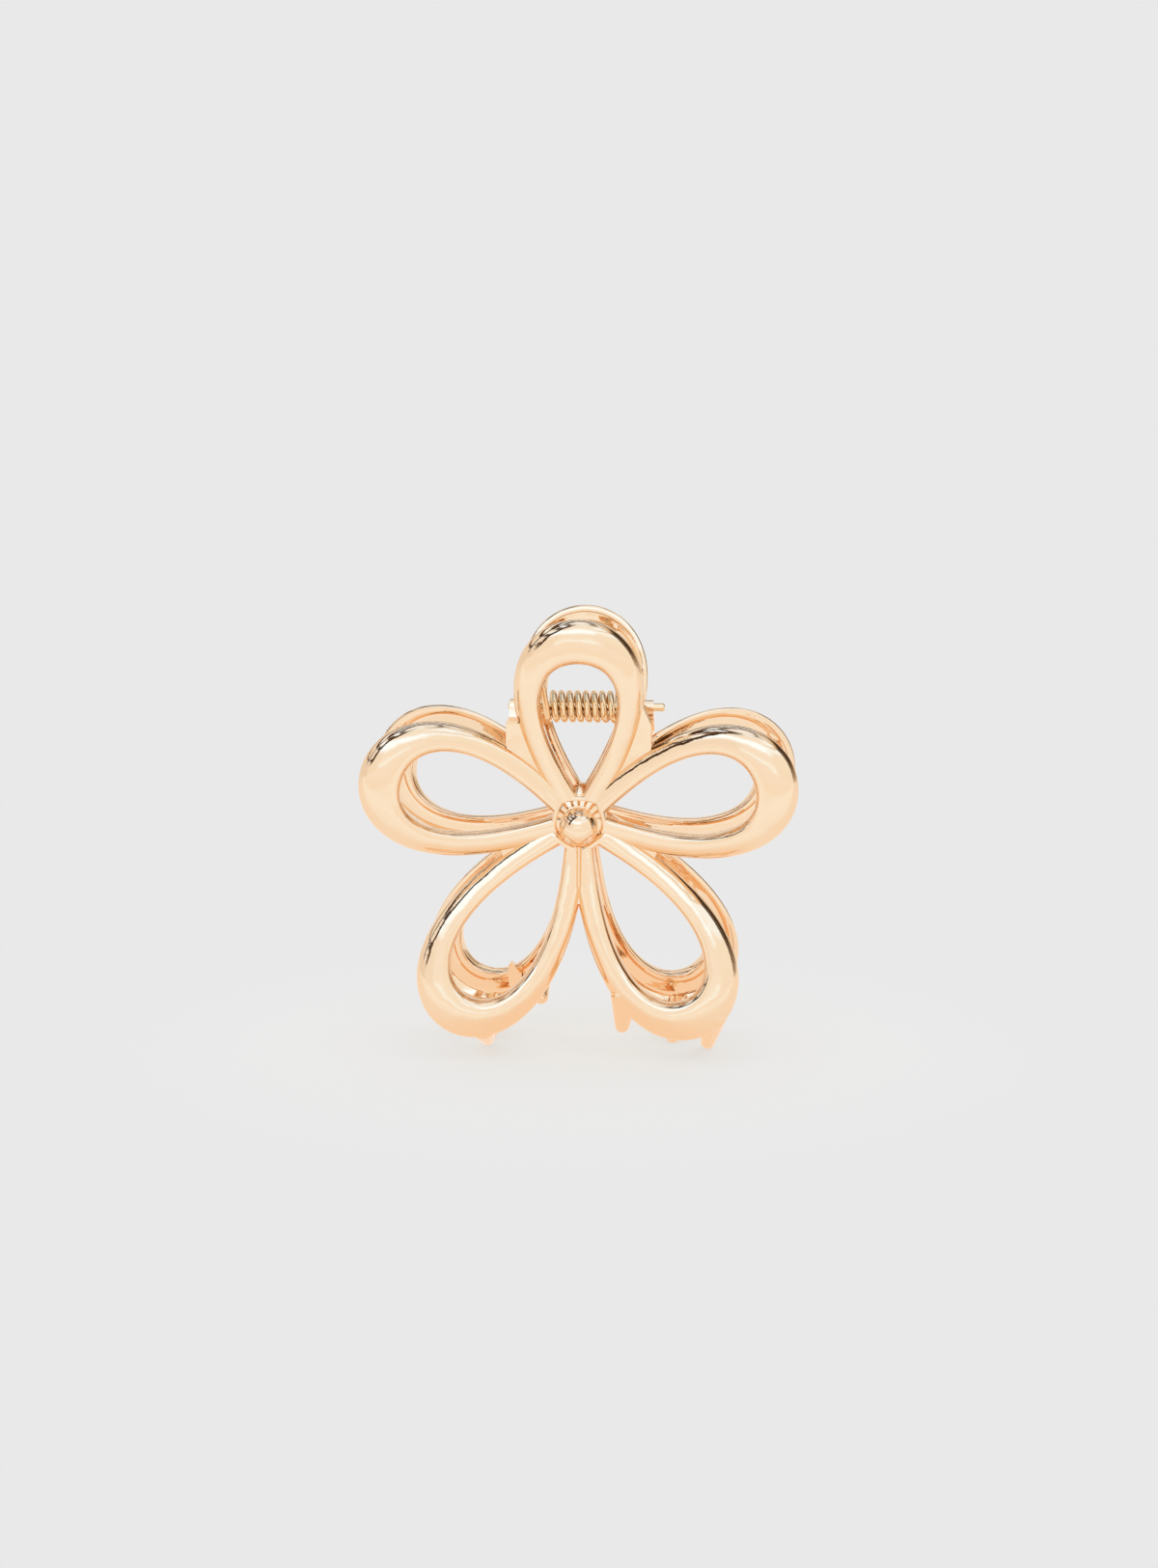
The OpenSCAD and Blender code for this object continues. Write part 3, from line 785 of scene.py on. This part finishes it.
# Golden slits in the dark screen, by how far back a direction points
SLIT_TONES = ((0.0, (0, 0, 0)), (0.42, (0, 0, 0)), (0.44, (0.8, 0.8, 0.8)), (0.46, (0, 0, 0)),
              (0.76, (0, 0, 0)), (0.84, (1, 1, 1)), (0.90, (0.3, 0.3, 0.3)), (1.0, (0.6, 0.6, 0.6)))
# The tones of those slits, of the dark frames and of the gap between them
SLIT_TONE = (0.85, 0.78, 0.66, 1)
FRAME_TONE = (0.07, 0.04, 0.02, 1)
GAP_TONE = (1.07, 1.45, 2.0, 1)
# Where one part of the studio goes over into the next, as shares of a direction: the softbox into the
# right wall, into the left wall, the rear into the screen (to the right), and the front into the rear
RIGHT_WALL_EDGE = (0.2, 0.45)
LEFT_WALL_EDGE = (-0.3, -0.5)
SCREEN_EDGE = (0.2, 0.5)
REAR_EDGE = (-0.36, -0.16)
# The frames begin here to the left and here above level
FRAMES_LEFT = (0.0, -0.3)
FRAMES_UP = (0.15, 0.3)
# How far back the slits and the frames run, from 0 to 1 of their tones
SLIT_RANGE = (-0.7, 0.9)
FRAME_RANGE = (-0.7, 0.3)
# How much the left side is turned further back than the right
BACK_TURN = -0.25


def make_world():
    """The studio that the plating mirrors: tone ramps by height, joined and crossed by direction."""
    world = bpy.data.worlds.new("studio")
    bpy.context.scene.world = world
    world.use_nodes = True
    tree = world.node_tree
    nodes, links = tree.nodes, tree.links
    nodes.clear()
    out = nodes.new("ShaderNodeOutputWorld")
    path = nodes.new("ShaderNodeLightPath")
    place = nodes.new("ShaderNodeTexCoord")
    split = nodes.new("ShaderNodeSeparateXYZ")
    links.new(place.outputs["Generated"], split.inputs[0])

    def beyond(value, edge):
        return share_of(tree, value, *edge, smooth=True)

    def background(tone):
        node = nodes.new("ShaderNodeBackground")
        feed(tree, node.inputs["Color"], tone)
        return node.outputs[0]

    x, y, z = split.outputs
    height = share_of(tree, z, -1, 1)
    front, wall, corner, screen, rear = (tones(tree, stops, height) for stops in (
        FRONT_TONES, WALL_TONES, CORNER_TONES, SCREEN_TONES, REAR_TONES))
    # how far back a direction points
    back = math_node(tree, "MULTIPLY_ADD", x, BACK_TURN, y)
    slits = tones(tree, SLIT_TONES, share_of(tree, back, *SLIT_RANGE))
    screen = tone_mix(tree, slits, screen, SLIT_TONE)
    before = tone_mix(tree, beyond(x, RIGHT_WALL_EDGE), front, wall)
    before = tone_mix(tree, beyond(x, LEFT_WALL_EDGE), before, corner)
    behind = tone_mix(tree, beyond(x, SCREEN_EDGE), rear, screen)
    room = tone_mix(tree, beyond(back, REAR_EDGE), before, behind)
    framed_side = math_node(tree, "MULTIPLY", beyond(x, FRAMES_LEFT), beyond(z, FRAMES_UP))
    across = share_of(tree, back, *FRAME_RANGE)
    for stops, tone in ((FRAME_TONES, FRAME_TONE), (GAP_TONES, GAP_TONE)):
        covered = math_node(tree, "MULTIPLY", tones(tree, stops, across), framed_side)
        room = tone_mix(tree, covered, room, tone)
    lit = shader_mix(tree, path.outputs["Is Glossy Ray"], background(ROOM_LIGHT), background(room))
    seen = shader_mix(tree, path.outputs["Is Camera Ray"], lit, background(BACKDROP))
    links.new(seen, out.inputs["Surface"])


# How far the floor reaches from the clip, in millimetres
FLOOR_REACH = 2000.0
# Its tones as the plating mirrors them, from this many metres before the clip to as many behind it
FLOOR_DEPTH = 0.3
FLOOR_TONES = ((0.0, (1.01, 1.07, 1.14)), (0.30, (1.01, 1.04, 1.07)), (0.37, (1.03, 1.14, 1.24)),
               (0.43, (1.02, 1.10, 1.18)), (0.46, (0.995, 0.985, 0.985)), (0.55, (0.995, 0.985, 0.985)),
               (1.0, (0.92, 0.95, 0.98)))
# and the same close round the clip, which lights it: warmer and darker there, a painted glow and painted
# shade that the clip throws on the floor
FLOOR_PAINTED_GLOW = (1.0, 0.87, 0.76, 1)
# The tone that the camera sees there, a painted pool of warm light that the clip throws, and the matt tone
# mixed in to take the clip's shade
FLOOR_PAINTED_POOL = (0.865, 0.86, 0.83, 1)
FLOOR_TONE = (0.92, 0.92, 0.91, 1)
FLOOR_ROUGHNESS = 0.8
# Where these three fade out (the painted glow, the painted pool of light and the shade taken by the matt
# tone), in metres from the clip's middle
PAINTED_GLOW_EDGE = (0.014, 0.036)
PAINTED_POOL_EDGE = (0.005, 0.032)
SHADE_EDGE = (0.02, 0.07)
# Share of the floor near the clip that takes no shade
SHADELESS = 0.65


def make_floor():
    """A pale floor that keeps the clip's soft shadow near the teeth, has a painted pool of light round the
    clip's middle, and runs into the backdrop.
    """
    corners = [(x * FLOOR_REACH, y * FLOOR_REACH, 0) for x, y in ((-1, -1), (1, -1), (1, 1), (-1, 1))]
    floor = mesh_object("floor", corners, [(0, 1, 2, 3)])
    material = bpy.data.materials.new("pale floor")
    material.use_nodes = True
    tree = material.node_tree
    nodes, links = tree.nodes, tree.links
    matt = nodes["Principled BSDF"]
    matt.inputs["Base Color"].default_value = FLOOR_TONE
    matt.inputs["Roughness"].default_value = FLOOR_ROUGHNESS
    matt.inputs["Specular IOR Level"].default_value = 0.0
    place = nodes.new("ShaderNodeTexCoord")
    split = nodes.new("ShaderNodeSeparateXYZ")
    links.new(place.outputs["Object"], split.inputs[0])
    length = nodes.new("ShaderNodeVectorMath")
    length.operation = "LENGTH"
    links.new(place.outputs["Object"], length.inputs[0])

    def away(edge, least=0.0):
        """A mask by distance from the clip's middle, in metres."""
        return share_of(tree, length.outputs["Value"], *edge, smooth=True, least=least)

    def shining(tone):
        node = nodes.new("ShaderNodeEmission")
        links.new(tone, node.inputs["Color"])
        return node.outputs[0]

    depth = share_of(tree, split.outputs["Y"], -FLOOR_DEPTH, FLOOR_DEPTH)
    # Close round the clip the mirrored floor takes a painted warm glow and painted shade from the clip
    mirrored_tone = tone_mix(tree, away(PAINTED_GLOW_EDGE), FLOOR_PAINTED_GLOW, tones(tree, FLOOR_TONES, depth))
    # The camera sees a painted pool of warm light close round the clip, fading into the backdrop
    plain = shining(tone_mix(tree, away(PAINTED_POOL_EDGE), FLOOR_PAINTED_POOL, BACKDROP))
    shaded = shader_mix(tree, away(SHADE_EDGE, SHADELESS), matt.outputs[0], plain)
    path = nodes.new("ShaderNodeLightPath")
    seen = shader_mix(tree, path.outputs["Is Glossy Ray"], shaded, shining(mirrored_tone))
    links.new(seen, nodes["Material Output"].inputs["Surface"])
    floor.data.materials.append(material)


# The camera, as the photograph was framed: 1200 by 1625 pixels, 7.6 of them to a millimetre
FRAME_H = 1625
PIXELS_A_MM = 7.6
CAMERA_FAR = 400.0
CAMERA_DOWN = 8.8
CAMERA_YAW = 2.9
CAMERA_ROLL = 0.2
AIM_Z = 36.34
AIM_SIDE = -0.33
SENSOR_W = 36


def make_camera():
    yaw, down, roll = (math.radians(a) for a in (CAMERA_YAW, CAMERA_DOWN, CAMERA_ROLL))
    right = Vector((math.cos(yaw), math.sin(yaw), 0))
    ahead = Vector((-math.sin(yaw) * math.cos(down), math.cos(yaw) * math.cos(down), -math.sin(down)))
    up = right.cross(ahead)
    aim = right * AIM_SIDE + Vector((0, 0, AIM_Z))
    rolled_right = right * math.cos(roll) + up * math.sin(roll)
    rolled_up = up * math.cos(roll) - right * math.sin(roll)
    camera = bpy.data.objects.new("camera", bpy.data.cameras.new("camera"))
    bpy.context.scene.collection.objects.link(camera)
    turn = Matrix((rolled_right, rolled_up, -ahead)).transposed().to_4x4()
    camera.matrix_world = Matrix.Translation((aim - ahead * CAMERA_FAR) * MM) @ turn
    camera.data.sensor_width = SENSOR_W
    camera.data.lens = PIXELS_A_MM * CAMERA_FAR * SENSOR_W / FRAME_H
    camera.data.clip_start = 0.01
    bpy.context.scene.camera = camera


bpy.context.scene.view_settings.view_transform = "Standard"
make_camera()
make_world()
make_floor()
PLATING = plating_group()
CASTING = plated("polished casting", plate=(0.94, 0.685, 0.455), deep=(0.93, 0.665, 0.43), polish=0.015,
                 wave_size=260, mark_size=900, wave_depth=0.16)
WIRE = plated("plated wire", plate=(0.95, 0.72, 0.46), deep=(0.90, 0.64, 0.36), polish=0.06,
              wave_size=900, mark_size=2500, wave_depth=0.01)
make_castings()
make_pin()
make_spring()
